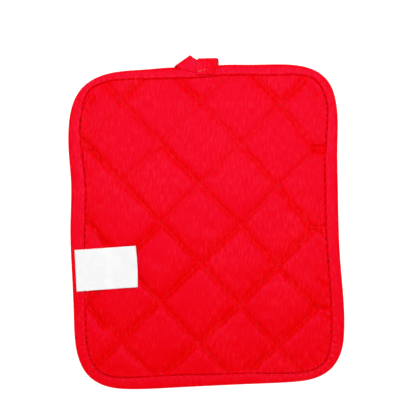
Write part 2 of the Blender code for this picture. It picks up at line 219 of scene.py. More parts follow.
# %% [markdown]
# ## The light
# A soft box hangs near the camera, a little towards the picture's top. Its
# gloss lies as a thin cool veil on every part that faces the camera, strongest
# at the top, and goes where the cloth turns down into a seam. A very wide fill
# lights the cloth's own colour evenly. A bright sky could do that too, but it
# would veil the cloth from all sides. The fill can be kept out of reflections,
# so that the veil comes from the soft box alone.

# %% Light
LAMP_SIZE = (0.45, 0.25)  # metres
LAMP_POWER = 2.0  # watts
LAMP_PLACE = Vector((0.03, 0.145, 0.7))  # metres
LAMP_TURN = math.radians(-10)
FILL_STRENGTH = 2.12  # watts to each square metre
FILL_TILT = math.radians(5)
FILL_SPREAD = math.radians(170)
SKY_STRENGTH = 0.025

lamp_data = bpy.data.lights.new("soft box", "AREA")
lamp_data.shape = "RECTANGLE"
lamp_data.size, lamp_data.size_y = LAMP_SIZE
lamp_data.energy = LAMP_POWER
lamp = bpy.data.objects.new("soft box", lamp_data)
lamp.location = LAMP_PLACE
lamp.rotation_euler = (0, 0, LAMP_TURN)
lamp.visible_camera = False
bpy.context.scene.collection.objects.link(lamp)

fill_data = bpy.data.lights.new("diffuse fill", "SUN")
fill_data.energy = FILL_STRENGTH
fill_data.angle = FILL_SPREAD
fill_data.cycles.use_multiple_importance_sampling = False  # or its gloss would still show
fill = bpy.data.objects.new("diffuse fill", fill_data)
fill.rotation_euler = (-FILL_TILT, 0, LAMP_TURN)
fill.visible_glossy = False
bpy.context.scene.collection.objects.link(fill)

world = bpy.data.worlds.new("white studio")
world.use_nodes = True
sky = world.node_tree.nodes["Background"]
sky.inputs["Color"].default_value = linear("FFFFFF")
sky.inputs["Strength"].default_value = SKY_STRENGTH
bpy.context.scene.world = world
bpy.context.scene.view_settings.view_transform = "Standard"
print("soft box of", LAMP_POWER, "W, fill of", FILL_STRENGTH, "and a sky of", SKY_STRENGTH)

# %% [markdown]
# ## The outer edge
# A pot holder is cut to a template, but its edge wanders once it is quilted and
# bound: this one is waisted on both sides and its corners are rounded
# unevenly. A rounded rectangle would be too regular. A smooth closed curve
# through a few rows keeps the unevenness. Each row also says how wide the
# binding shows there and how high the edge lies, since it rises over the loop's
# folded tape.

# %% Edge curve
EDGE = [
    # x, y, visible width of the binding, height of the edge's middle
    (0.0, -121.5, 8.7, 2.8),
    (34.0, -121.3, 8.1, 2.7),
    (62.1, -121.0, 6.9, 2.9),
    (79.8, -118.6, 6.6, 3.1),
    (92.0, -112.0, 7.3, 3.1),
    (99.8, -100.6, 8.8, 2.9),
    (103.1, -84.1, 9.7, 2.8),
    (103.6, -63.0, 9.6, 2.8),
    (102.4, -35.0, 9.2, 2.7),
    (101.9, -10.0, 9.4, 2.8),
    (102.5, 25.0, 9.6, 2.7),
    (103.3, 56.0, 9.0, 2.8),
    (104.3, 78.0, 7.6, 3.0),
    (103.2, 91.6, 7.0, 3.3),
    (99.7, 103.0, 7.0, 3.4),
    (92.0, 112.1, 6.2, 3.3),
    (79.5, 117.8, 6.8, 3.0),
    (61.0, 120.1, 8.2, 2.9),
    (38.0, 120.6, 7.7, 3.3),
    (18.0, 121.1, 7.9, 3.9),
    (0.0, 120.1, 7.8, 3.9),
    (-21.0, 120.7, 8.3, 3.9),
    (-38.0, 120.1, 7.4, 3.3),
    (-59.0, 119.3, 6.4, 2.9),
    (-75.5, 115.9, 5.5, 3.1),
    (-88.1, 108.1, 5.7, 3.4),
    (-95.7, 96.4, 7.9, 3.3),
    (-99.6, 80.0, 8.6, 3.0),
    (-100.5, 62.0, 9.7, 2.8),
    (-99.6, 37.0, 10.8, 2.7),
    (-101.4, 2.0, 10.8, 2.8),
    (-101.5, -33.0, 9.8, 2.8),
    (-101.4, -66.0, 8.8, 2.8),
    (-100.8, -87.0, 8.7, 2.9),
    (-97.6, -100.7, 8.5, 3.1),
    (-91.1, -111.1, 8.3, 3.1),
    (-79.7, -118.4, 8.3, 2.9),
    (-61.1, -121.7, 8.9, 2.8),
    (-31.0, -121.9, 9.6, 2.7),
]
CURVE_STEPS = 40  # between one row and the next, before the curve is spaced evenly


def closed_curve(rows, count):
    """count rows, evenly spaced along the smooth closed curve through these."""
    rows = np.array(rows)
    ahead = np.roll(rows, -1, axis=0)
    span = np.linalg.norm((ahead - rows)[:, :2], axis=1)
    rise = (ahead - rows) / span[:, None]
    before = np.roll(span, 1)
    matrix = np.diag(2 / span + 2 / before)
    for row in range(len(rows)):
        matrix[row, row - 1] = 1 / before[row]
        matrix[row, (row + 1) % len(rows)] = 1 / span[row]
    target = 3 * (rise / span[:, None] + np.roll(rise, 1, axis=0) / before[:, None])
    slope = np.linalg.solve(matrix, target)
    leaving = slope * span[:, None]
    arriving = np.roll(slope, -1, axis=0) * span[:, None]
    t = (np.arange(CURVE_STEPS) / CURVE_STEPS)[None, :, None]
    points = (
        rows[:, None] * (1 + 2 * t) * (1 - t) ** 2
        + leaving[:, None] * t * (1 - t) ** 2
        + ahead[:, None] * t**2 * (3 - 2 * t)
        - arriving[:, None] * t**2 * (1 - t)
    ).reshape(-1, rows.shape[1])
    points = np.concatenate([points, points[:1]])
    length = np.linalg.norm(np.diff(points[:, :2], axis=0), axis=1)
    travelled = np.concatenate([[0], np.cumsum(length)])
    wanted = np.arange(count) * travelled[-1] / count
    return np.stack([np.interp(wanted, travelled, column) for column in points.T], axis=1)


def inward(curve):
    """The unit normals of an anticlockwise closed curve, pointing inside it."""
    along = np.roll(curve, -1, axis=0) - np.roll(curve, 1, axis=0)
    normal = np.stack([-along[:, 1], along[:, 0]], axis=1)
    return normal / np.linalg.norm(normal, axis=1)[:, None]


EDGE_SAMPLES = 1660
edge = closed_curve(EDGE, EDGE_SAMPLES)
edge_inward = inward(edge)
edge_length = np.linalg.norm(edge[:, :2] - np.roll(edge[:, :2], 1, axis=0), axis=1).sum()
edge_tree = KDTree(EDGE_SAMPLES)
for number, sample in enumerate(edge):
    edge_tree.insert((sample[0], sample[1], 0), number)
edge_tree.balance()
print("edge", round(edge_length), "mm round")


def edge_near(places):
    """Each place's depth inside the edge, and its row on the nearest stretch of edge."""
    nearest = np.array([edge_tree.find((x, y, 0))[1] for x, y in places])
    depth = ((places - edge[nearest, :2]) * edge_inward[nearest]).sum(axis=1)
    return depth, nearest


# %% [markdown]
# ## The quilting pattern
# A quilting machine has a row of needles. The cloth moves under them while they
# swing from side to side together, so each one sews a zigzag, and neighbouring
# zigzags meet in diamonds. The last needle on the right turns back short of the
# edge and leaves loose cloth there, which lies in small pleats. The pattern sits
# slightly askew on the holder, and some crossings have strayed. Columns and rows
# give every crossing, and a table moves those that have strayed, which is
# shorter and surer than drawing each seam.

# %% Quilting grid
QUILT_MIDDLE = np.array((-3.0, 0.9))
ROW_TURN = math.radians(-3.1)
COLUMN_TURN = math.radians(-2.2)
OUTER_COLUMN = 5  # columns and rows are counted from the middle, -5 to 5, each with its place
COLUMNS = [-147.0, -117.0, -87.5, -60.4, -30.1, 0.0, 30.6, 58.2, 87.9, 118.0, 148.0]
ROWS = [-150.0, -120.0, -89.8, -61.2, -30.0, 0.0, 30.4, 60.7, 92.9, 123.0, 153.0]
LAST_COLUMN = 3  # where the last needle turns back
STRAYS = [
    # column, row, how far the node has strayed in x and in y
    (-3, -4, -0.6, 0.6),
    (-3, -2, 0.1, 0.4),
    (-3, 0, 1.2, 1.7),
    (-3, 2, -0.2, 0.0),
    (-2, -3, -0.6, 0.2),
    (-2, -1, 1.6, 0.5),
    (-2, 1, 1.6, 0.7),
    (-2, 3, 0.1, 0.8),
    (-1, -4, -1.6, 1.8),
    (-1, -2, 0.0, 2.5),
    (-1, 0, 0.4, 0.9),
    (-1, 2, 0.1, 0.3),
    (-1, 4, -0.9, 0.7),
    (0, -3, -1.5, -0.1),
    (0, -1, -0.1, 0.5),
    (0, 3, -0.2, 0.8),
    (1, -4, -2.4, 0.3),
    (1, -2, -0.7, 1.0),
    (1, 0, -0.1, -0.2),
    (1, 2, 0.1, 0.4),
    (1, 4, 1.0, -0.2),
    (2, -3, -0.2, -1.3),
    (2, -1, 0.3, -0.7),
    (2, 1, 0.1, -0.9),
    (2, 3, 2.7, -0.5),
    (3, -4, -1.3, -1.2),
    (3, -2, 0.2, -0.9),
    (3, 0, -2.4, -2.4),
    (3, 2, -1.2, -3.3),
    (3, 4, 0.9, -1.0),
]


def quilt_node(column, row):
    """Where the quilting seams cross at this column and row."""
    across = np.array((math.cos(ROW_TURN), math.sin(ROW_TURN)))
    along = np.array((-math.sin(COLUMN_TURN), math.cos(COLUMN_TURN)))
    place = QUILT_MIDDLE + COLUMNS[column + OUTER_COLUMN] * across
    place = place + ROWS[row + OUTER_COLUMN] * along
    for stray_column, stray_row, stray_x, stray_y in STRAYS:
        if (stray_column, stray_row) == (column, row):
            place = place + (stray_x, stray_y)
    return place


# %% [markdown]
# ## The runs of thread
# A seam is sewn in straight runs from one crossing to the next, with a slight
# wander. Some runs are drawn less tightly than others, so the filling hides
# part of them, and two have sunk out of sight. A list of runs with their
# tightness is enough: everything else about a seam is worked out from it.

# %% Runs of quilting
SLACK_RUNS = [
    # a run's left column, its left row, its right row, how tightly its thread is drawn
    (-3, 2, 3, 0.25),
    (-1, 2, 3, 0.3),
    (1, 2, 3, 0.45),
    (-2, 1, 2, 0.5),
    (0, 1, 2, 0.5),
    (2, 1, 2, 0.45),
    (-3, 0, 1, 0.2),
    (-1, 0, 1, 0.45),
    (1, 0, 1, 0.6),
    (0, -1, 0, 0.8),
    (2, -1, 0, 0.75),
    (-2, 3, 2, 0.6),
    (0, 3, 2, 0.5),
    (2, 3, 2, 0.7),
    (1, 2, 1, 0.75),
    (0, 3, 4, 0.45),
    (0, 1, 0, 0.8),
]
SUNK_RUNS = [(-3, -2, -3), (-3, -2, -1)]  # their thread has sunk out of sight

tightness = {tuple(run[:3]): run[3] for run in SLACK_RUNS}
seams, tight, sunk = [], [], []
for column in range(1 - OUTER_COLUMN, LAST_COLUMN):
    for row in range(1 - OUTER_COLUMN, OUTER_COLUMN):
        for next_row in (row - 1, row + 1):
            if (column + row) % 2 and abs(next_row) < OUTER_COLUMN:
                seams.append((quilt_node(column, row), quilt_node(column + 1, next_row)))
                tight.append(tightness.get((column, row, next_row), 1.0))
                sunk.append((column, row, next_row) in SUNK_RUNS)
pleats = []
for row in (-2, 0, 2):
    tip = quilt_node(LAST_COLUMN, row)
    pleats.append((tip, tip + (COLUMNS[-1] - COLUMNS[-2], 0)))
print(len(seams), "runs of quilting")

SEAM_WANDER = 0.45
WANDER_LENGTH = 21.0


def wander(along, length, seed):
    """How far a seam has strayed sideways, this far along its run. It is back at the nodes."""
    swell = np.sin(math.pi * np.clip(along / length, 0, 1))
    return SEAM_WANDER * swell * ripple(along, WANDER_LENGTH, seed)


def by_the_run(places, start, end):
    """How far each place is along a run, to its left and beyond its ends."""
    length = np.linalg.norm(np.subtract(end, start))
    run = np.subtract(end, start) / length
    along = (places - start) @ run
    left = (places - start) @ (-run[1], run[0])
    beyond = np.maximum(np.maximum(-along, along - length), 0)
    return along, left, beyond, length


def distance_to(places, start, end):
    """How far each place is from the straight run between two points."""
    _, left, beyond, _ = by_the_run(places, start, end)
    return np.hypot(left, beyond)


# %% [markdown]
# ## The pad's grid
# The pad is one closed form. A plain grid that is pushed up and down would cut
# across the seams and blur them, and a cloth simulation would put the puckers
# where it likes. So the points stand in a fine grid inside each diamond, with
# edges along every seam.

# %% Grid inside the diamonds
DIAMOND_STEPS = 36
STEP_CROWDING = 1.35  # above 1, the grid is finer beside the seams than at a crown
DECIMALS = 3  # places that agree to a micrometre are one


def diamond_places(column, row):
    """The grid of places in one diamond, between its four nodes."""
    left, top = quilt_node(column - 1, row), quilt_node(column, row + 1)
    right, bottom = quilt_node(column + 1, row), quilt_node(column, row - 1)
    spread = np.linspace(-1, 1, DIAMOND_STEPS + 1)
    step = 0.5 + 0.5 * np.sign(spread) * (1 - (1 - np.abs(spread)) ** STEP_CROWDING)
    a, b = (grid.reshape(-1, 1) for grid in np.meshgrid(step, step))
    return (left * (1 - a) + bottom * a) * (1 - b) + (top * (1 - a) + right * a) * b


grid = [
    diamond_places(column, row)
    for column in range(1 - OUTER_COLUMN, OUTER_COLUMN)
    for row in range(1 - OUTER_COLUMN, OUTER_COLUMN)
    if (column + row) % 2 == 0
]
grid = np.unique(np.round(np.concatenate(grid), DECIMALS), axis=0)
grid = grid[np.abs(grid).max(axis=1) < np.abs(edge[:, :2]).max()]  # drops what is far outside
print("grid of", len(grid), "places")

# %% [markdown]
# ## The small creases
# Where a seam ends at the binding, and where the loose cloth at the right is
# taken up, the cloth lies in small sharp creases. Each is a line with a depth.
# The grid is cleared round it and lanes of points are set along it, so that the
# mesh can follow its sides without being as fine everywhere.

# %% Creases
CREASES = [
    # start x and y, end x and y, depth, reach to each side
    (84.3, 56.7, 93.4, 56.4, 1.7, 0.75),
    (84.5, 53.6, 93.0, 52.7, 1.7, 0.75),
    (78.8, -3.3, 91.5, -4.2, 1.6, 0.75),
    (79.9, -5.1, 87.9, -6.8, 1.5, 0.75),
    (87.9, -6.8, 91.6, -11.3, 1.5, 0.75),
    (83.6, -43.5, 93.2, -50.2, 0.9, 1.1),
    (80.0, -64.2, 92.8, -66.6, 1.5, 0.8),
    (86.0, -69.9, 93.4, -74.5, 1.1, 0.9),
    (-92.0, 70.8, -82.8, 63.1, 2.0, 0.75),
    (-82.8, 63.1, -76.5, 55.5, 1.6, 0.8),
    (-91.0, 63.5, -82.9, 60.6, 1.8, 0.75),
    (-82.9, 60.6, -76.3, 52.2, 1.7, 0.8),
    (-91.2, 8.3, -83.6, 2.9, 2.0, 0.8),
    (-83.6, 2.9, -75.1, -10.6, 1.6, 0.85),
    (-91.5, -55.0, -78.3, -74.5, 2.5, 1.3),
    (-79.3, 100.9, -82.2, 96.1, 1.3, 0.85),
    (-83.5, 101.8, -86.4, 96.5, 1.2, 0.8),
    (-90.0, 93.0, -84.5, 89.0, 0.6, 1.2),
    (-85.5, -102.2, -80.0, -96.5, 0.6, 1.3),
    (-76.5, -110.5, -72.0, -105.0, 0.6, 1.3),
    (80.5, -109.0, 76.5, -103.0, 0.5, 1.2),
    (88.0, -101.0, 82.0, -96.5, 0.5, 1.2),
    (82.0, 108.5, 77.5, 103.0, 0.5, 1.2),
    (90.5, 97.0, 85.0, 93.5, 0.5, 1.2),
]
CREASE_STEP = 0.7  # from point to point along a lane
CREASE_LANES = (-1.5, -0.95, -0.55, -0.25, 0.0, 0.25, 0.55, 0.95, 1.5)
CREASE_CLEARANCE = 2.0


def crease_places(start, end):
    """Places along a crease and in lanes beside it, so that the mesh can follow its sides."""
    length = math.dist(start, end)
    run = np.subtract(end, start) / length
    along = np.arange(0, length, CREASE_STEP)[:, None] * run
    return [start + along + lane * np.array((-run[1], run[0])) for lane in CREASE_LANES]


for start_x, start_y, end_x, end_y, _, _ in CREASES:
    start, end = (start_x, start_y), (end_x, end_y)
    lanes = np.concatenate(crease_places(start, end))
    grid = np.concatenate([grid[distance_to(grid, start, end) > CREASE_CLEARANCE], lanes])
print("with", len(CREASES), "creases,", len(grid), "places")

# %% [markdown]
# ## The pad's triangles
# Rings of points follow the binding, closest together where the cloth meets it.
# A Delaunay triangulation joins rings, lanes and grid, and keeps the triangles
# even where they meet, which faces made by hand from a grid would not. The face
# and the back use the same triangles.

# %% Rings and triangles
TAPE_THICKNESS = 0.9
PAD_PLAY = 0.4  # between the pad's rim and the inside of the binding's fold, beyond the gap
PAD_INSET = TAPE_THICKNESS + GAP + PAD_PLAY
RING_STATIONS = 1100
RINGS_PAST_BINDING = [-2.0, 0.0, 0.3, 0.55, 0.85, 1.25, 1.9, 2.9]
RING_CLEARANCE = 0.9
SAME_PLACE = 0.02

stations = closed_curve(EDGE, RING_STATIONS)
station_inward = inward(stations)
insets = [np.full(RING_STATIONS, PAD_INSET)]
insets += [stations[:, 2] + past for past in RINGS_PAST_BINDING]
rings = [stations[:, :2] + station_inward * inset[:, None] for inset in insets]
ring_edges = [  # which the triangulation has to keep
    (ring * RING_STATIONS + k, ring * RING_STATIONS + (k + 1) % RING_STATIONS)
    for ring in range(len(rings))
    for k in range(RING_STATIONS)
]
depth, nearest = edge_near(grid)
grid = grid[depth - edge[nearest, 2] > RINGS_PAST_BINDING[-1] + RING_CLEARANCE]
places = np.concatenate(rings + [grid])
found = delaunay_2d_cdt([Vector(place) for place in places], ring_edges, [], 0, SAME_PLACE)
places = np.array([tuple(place) for place in found[0]])
triangles = np.array(found[2])
depth, nearest = edge_near(places[triangles].mean(axis=1))
triangles = triangles[depth > PAD_INSET]
print("pad:", len(places), "places,", len(triangles), "triangles on each side")

# %% [markdown]
# ## The pad's height
# Filling springs up between the seams. Each seam draws it down in three layers:
# a narrow dip at the thread, a steep side of a few millimetres and a long
# gentle slope. What the seams leave of each layer is multiplied, so dips run
# together where seams meet. The nearest seam alone would leave a sharp ridge
# halfway between two of them. Some seams are also drawn tighter, and the cloth
# sags above those that rise to the right: both are measured here and used below.

# %% What the seams draw down
SEAM_SIDES = [
    # how far from a seam the filling is drawn down, for what share of its height, how roundly
    (0.9, 0.12, 1.0),
    (2.5, 0.68, 1.5),
    (8.0, 0.2, 1.6),
]
SUNK_REACH = 5.5  # of a seam whose thread has sunk out of sight
QUILT_STITCH = 4.4  # from one stitch to the next
SEAM_PUCKER = 0.22  # share by which a seam's sides widen and narrow with its stitches
TIGHT_HALF = 1.0
SAG_REACH = (1.6, 7.5)  # below the seam and above it
SAG_ROUNDNESS = 1.5

layers_left = [np.ones(len(places)) for _ in SEAM_SIDES]
seam_distance = np.full(len(places), np.inf)
pulled = np.zeros(len(places))
sag = np.zeros(len(places))
for number, (start, end) in enumerate(seams + pleats):
    along, across, beyond, length = by_the_run(places, start, end)
    is_seam = number < len(seams)
    distance = np.hypot(across - wander(along, length, number) * is_seam, beyond)
    pucker = 1 + SEAM_PUCKER * ripple(along, QUILT_STITCH, number)
    draw = tight[number] if is_seam else 1.0
    for layer, (reach, _, roundness) in enumerate(SEAM_SIDES):
        if is_seam and sunk[number]:
            reach = max(reach, SUNK_REACH)
        layers_left[layer] *= 1 - draw * np.exp(-((distance / (reach * pucker)) ** roundness))
    if is_seam:
        pulled = np.maximum(pulled, draw * np.exp(-((distance / TIGHT_HALF) ** 2)))
        if end[1] > start[1]:
            sag_reach = np.where(across > 0, SAG_REACH[1], SAG_REACH[0])
            sag = np.maximum(sag, np.exp(-((distance / sag_reach) ** SAG_ROUNDNESS)))
    seam_distance = np.minimum(seam_distance, distance)
puff = np.zeros(len(places))
for layer, (_, part, _) in zip(layers_left, SEAM_SIDES):
    puff += part * layer
print("the fullest crown keeps", round(puff.max(), 2), "of its height")

# %% [markdown]
# ## The pad's rim
# The binding holds the filling down as a seam does. It also presses a groove
# into the pad at each of its stitches, and between them the pad springs up
# against it, mostly at the left and right. Without this the line along the
# binding would be a drawn one instead of a row of dark dashes.

# %% What the binding holds down
STITCH_LENGTH = 5.5  # from one of the binding's stitches to the next
BINDING_SIDES = [
    # how far from the binding the filling is held down, for what share of its height, how roundly
    (0.26, 0.82, 1.5),
    (9.0, 0.18, 2.3),
]
SPRING_BETWEEN = 0.29  # how far the pad springs towards the binding between its stitches
GROOVE_DEPTH = 1.4
GROOVE_HALF = 0.24
GROOVE_WIDENING = 1.3  # at a stitch, at the left and right
EDGE_PUCKER = 0.06
EDGE_PUCKER_REACH = 3.5

depth, nearest = edge_near(places)
past_binding = depth - edge[nearest, 2] - GAP
edge_along = nearest * edge_length / EDGE_SAMPLES
by_stitch = np.cos(2 * math.pi * edge_along / STITCH_LENGTH)  # -1 at a stitch, 1 between two
at_stitch = (1 - by_stitch) / 2
at_the_sides = edge_inward[nearest, 0] ** 2
spring = SPRING_BETWEEN * (1 + by_stitch) / 2 * at_the_sides
from_binding = np.clip(past_binding + spring, 0, None) * (past_binding > -GAP)
held = sum(
    part * np.exp(-((from_binding / reach) ** roundness))
    for reach, part, roundness in BINDING_SIDES
)
puff = puff * (1 - held)
groove_half = GROOVE_HALF * (1 + GROOVE_WIDENING * at_stitch * at_the_sides)
groove = GROOVE_DEPTH * np.exp(-((past_binding / groove_half) ** 2)) * at_stitch
edge_fade = np.exp(-np.maximum(past_binding, 0) / EDGE_PUCKER_REACH)
edge_pucker = EDGE_PUCKER * ripple(edge_along, STITCH_LENGTH, 3.0) * edge_fade
print("groove up to", round(groove.max(), 2), "mm deep")

# %% [markdown]
# ## Face and back
# The face is a middle height with half a thickness on it, and the back has the
# same half below it. In the lower half the thread is drawn tighter and the
# cloth sags, and the creases are pressed in last. Underneath, the crowns are
# pressed flat by the surface that the holder lies on, and the back leaves room
# for the loop's hidden tape.

# %% Heights of face and back
PAD_EDGE_HALF = 1.2  # half the thickness in the binding, along a seam and at a full crown
PAD_SEAM_HALF = 1.3
PAD_PUFF_HALF = 3.3
PAD_MIDDLE_HEIGHT = 3.4
EDGE_BLEND = 26.0  # from the edge's own height to the pad's
PAD_DENTS = 0.3
DENT_WAVES = [
    # direction x and y, length, seed
    (1.0, 0.6, 33.0, 1.0),
    (-0.4, 1.0, 26.0, 2.0),
]
TIGHT_DEPTH = 0.45
SAG_DEPTH = 1.2
TIGHT_BELOW = (30.0, -30.0)  # both set in from the first y to the second
TIGHT_FADE = 3.0  # where they run out towards the binding
TAPE_CLEARANCE = 1.4
TAPE_SHADOW_MIDDLE = np.array((-0.5, 106.0))
TAPE_SHADOW = (24.0, 36.0)  # full clearance within the first distance, none past the second

flat_share = smooth_step(from_binding / BINDING_SIDES[0][0])
half = PAD_EDGE_HALF + (PAD_SEAM_HALF - PAD_EDGE_HALF) * flat_share
half = half + (PAD_PUFF_HALF - PAD_SEAM_HALF) * puff
inside = smooth_step(depth / EDGE_BLEND)
middle = edge[nearest, 3] + (PAD_MIDDLE_HEIGHT - edge[nearest, 3]) * inside
dents = math.prod(ripple(places @ (x, y), length, seed) for x, y, length, seed in DENT_WAVES)
top = middle + half + PAD_DENTS * puff * dents
low_down = smooth_step((TIGHT_BELOW[0] - places[:, 1]) / (TIGHT_BELOW[0] - TIGHT_BELOW[1]))
drawn = TIGHT_DEPTH * pulled + SAG_DEPTH * sag
top -= drawn * low_down * smooth_step(past_binding / TIGHT_FADE)
top -= groove
top += edge_pucker
for start_x, start_y, end_x, end_y, crease_depth, reach in CREASES:
    distance = distance_to(places, (start_x, start_y), (end_x, end_y))
    top = top - crease_depth * np.exp(-((distance / reach) ** 2)) * smooth_step(past_binding)
underside = np.maximum(middle - half, 0)
from_tape = np.linalg.norm((places - TAPE_SHADOW_MIDDLE), axis=1)
over_tape = smooth_step((TAPE_SHADOW[1] - from_tape) / (TAPE_SHADOW[1] - TAPE_SHADOW[0]))
underside = np.maximum(underside, TAPE_CLEARANCE * over_tape)
print("crowns", round(top.max(), 1), "mm high, seams", round(top[seam_distance < 0.2].min(), 1))

# %% [markdown]
# ## Woven polyester
# The cover is a plain-woven polyester, dyed right through. Its smooth filaments
# give it a soft gloss that is cooler than the dye. The warp shows as fine upright
# lines, because some threads are thicker than others: these slubs stand a
# little higher, are lighter and reflect a little more sharply. The weave itself,
# about five threads to the millimetre, is finer than the picture can show, so
# the bump draws it at twice its size. Noise and waves in the piece's own
# coordinates give all of this without a picture or an unwrapped mesh.

# %% Cloth material
WAVE_PERIOD = math.pi / 10  # from band to band of a wave texture with a scale of 1
THREAD_SPACING = 0.1885
WEAVE_ENLARGED = 2.0  # times its real size, so that it shows
WEAVE_HEIGHT = 0.08
SLUB_WIDTH = 1.15
SLUB_LENGTH = 6.5
SLUB_HEIGHT = 0.065
PATCH_SIZE = 45.0
PATCH_SHARE = 0.3
TINT_RANGE = (0.64, 0.92)  # of slubs and patches together, from the dark colour to the light one
SLUB_RANGE = (0.35, 0.65)
CLOTH_ROUGHNESS = (0.53, 0.43)  # of the thin threads and of the slubs
CLOTH_IOR = 1.45
GLOSS_TINT = "A06BED"  # the veil is cooler than the dye
CLOTH_TURN = math.radians(-2.2)


def woven_polyester(name, dark_colour, colour, gloss):
    """Dyed woven polyester: upright slubs in its colour, a fine weave in its bump."""
    material = new_material(name)
    place = add_node(material, "ShaderNodeTexCoord", {}).outputs["Object"]
    cloth = add_node(
        material, "ShaderNodeMapping",
        {"Vector": place, "Scale": (1 / MM,) * 3, "Rotation": (0, 0, -CLOTH_TURN)},
    ).outputs["Vector"]
    stretched = add_node(
        material, "ShaderNodeMapping",
        {"Vector": cloth, "Scale": (1 / SLUB_WIDTH, 1 / SLUB_LENGTH, 1 / SLUB_LENGTH)},
    ).outputs["Vector"]
    slubs = add_node(
        material, "ShaderNodeTexNoise",
        {"Vector": stretched, "Scale": 1.0, "Detail": 3.0, "Roughness": 0.6},
    ).outputs["Fac"]
    patches = add_node(
        material, "ShaderNodeTexNoise",
        {"Vector": cloth, "Scale": 1 / PATCH_SIZE, "Detail": 2.0},
    ).outputs["Fac"]
    uneven = add_node(
        material, "ShaderNodeMath", {0: patches, 1: PATCH_SHARE, 2: slubs},
        operation="MULTIPLY_ADD",
    ).outputs[0]
    spread = add_node(
        material, "ShaderNodeMapRange",
        {"Value": uneven, "From Min": TINT_RANGE[0], "From Max": TINT_RANGE[1]},
    ).outputs["Result"]
    tint = add_node(
        material, "ShaderNodeMix",
        {"Factor": spread, "A": linear(dark_colour), "B": linear(colour)},
        data_type="RGBA",
    ).outputs["Result"]
    weave = add_node(
        material, "ShaderNodeTexWave",
        {"Vector": cloth, "Scale": WAVE_PERIOD / (WEAVE_ENLARGED * THREAD_SPACING),
         "Distortion": 0.6, "Detail": 1.0},
        bands_direction="X",
    ).outputs["Fac"]
    thick_threads = add_node(
        material, "ShaderNodeBump",
        {"Height": slubs, "Strength": 1.0, "Distance": SLUB_HEIGHT * MM},
    ).outputs["Normal"]
    bump = add_node(
        material, "ShaderNodeBump",
        {"Height": weave, "Strength": 0.25, "Distance": WEAVE_HEIGHT * MM,
         "Normal": thick_threads},
    ).outputs["Normal"]
    sharper = add_node(
        material, "ShaderNodeMapRange",
        {"Value": slubs, "From Min": SLUB_RANGE[0], "From Max": SLUB_RANGE[1],
         "To Min": CLOTH_ROUGHNESS[0], "To Max": CLOTH_ROUGHNESS[1]},
    ).outputs["Result"]
    shader = add_node(
        material, "ShaderNodeBsdfPrincipled",
        {"Base Color": tint, "Roughness": sharper, "Normal": bump, "IOR": CLOTH_IOR,
         "Specular IOR Level": gloss, "Specular Tint": linear(GLOSS_TINT)},
    )
    add_node(material, "ShaderNodeOutputMaterial", {"Surface": shader.outputs["BSDF"]})
    print(name, "has", len(material.node_tree.nodes), "nodes")
    return material


pad_cloth = woven_polyester("red woven polyester", "EF0001", "F61623", 0.34)

# %% [markdown]
# ## The pad
# The triangles stand once at the heights of the face and once, turned over, at
# those of the back, and a strip round the rim closes them. A Solidify modifier
# would be shorter, but its back would copy the face instead of lying flat.

# %% Pad piece
count = len(places)
rim = {(int(a), int(b)) for tri in triangles for a, b in zip(tri, np.roll(tri, -1))}
rim = sorted((a, b) for a, b in rim if (b, a) not in rim)  # in one triangle only
lower = triangles[:, ::-1] + count
sides = [(b, a, a + count) for a, b in rim] + [(b, a + count, b + count) for a, b in rim]
pad_faces = np.concatenate([triangles, lower, np.array(sides)])
points = np.concatenate([np.column_stack([places, top]), np.column_stack([places, underside])])
pad = make_piece("pot_holder_pad", points, pad_faces, pad_cloth)
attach(pad, "root")
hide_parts("quilted_pad")

# %% [markdown]
# ## The binding
# The raw edge is bound with a tape of the same cloth, folded over it and sewn
# down a couple of millimetres from its inner edge. A bevelled curve would give
# it one width all round, so it is lofted as a U section along the edge curve.
# It lies nearly flat, is pinched a little from stitch to stitch, and is gathered
# into small ripples round the corners, where the tape is longer than the edge
# it lies on.

# %% Binding's ripples
BINDING_STATIONS = 1000
TURN_REACH = 8  # stations to each side over which the edge's turn is measured
CORNER_TURN = (0.06, 0.28)  # how sharply the edge turns where a corner sets in and is full
RIPPLE_LENGTH = 5.2
CORNER_RIPPLE = 0.42
SIDE_RIPPLE = 0.07
WIDTH_WANDER = 0.2
WIDTH_WAVE = 17.0
SCALLOP = 0.04

stations = closed_curve(EDGE, BINDING_STATIONS)
station_inward = inward(stations)
along = np.arange(BINDING_STATIONS) * edge_length / BINDING_STATIONS
before, after = (np.roll(station_inward, shift, axis=0) for shift in (TURN_REACH, -TURN_REACH))
turning = np.linalg.norm(after - before, axis=1)
corner = smooth_step((turning - CORNER_TURN[0]) / (CORNER_TURN[1] - CORNER_TURN[0]))
ripple_height = SIDE_RIPPLE + (CORNER_RIPPLE - SIDE_RIPPLE) * corner
gather = ripple_height * ripple(along, RIPPLE_LENGTH, 1.0)
gather_under = ripple_height * ripple(along, RIPPLE_LENGTH, 5.0)
by_stitch = np.cos(2 * math.pi * along / STITCH_LENGTH)
width = stations[:, 2] + WIDTH_WANDER * ripple(along, WIDTH_WAVE, 2.0) + SCALLOP * by_stitch
print("binding", round(width.min(), 1), "to", round(width.max(), 1), "mm wide")

# %% [markdown]
# ## The binding's section
# Rows of points follow the edge, one for each place in the section: from the
# inner edge on the face, round the fold to the inner edge on the back, and back
# through the groove that the pad lies in. A narrow binding loses width only
# where it is plump.

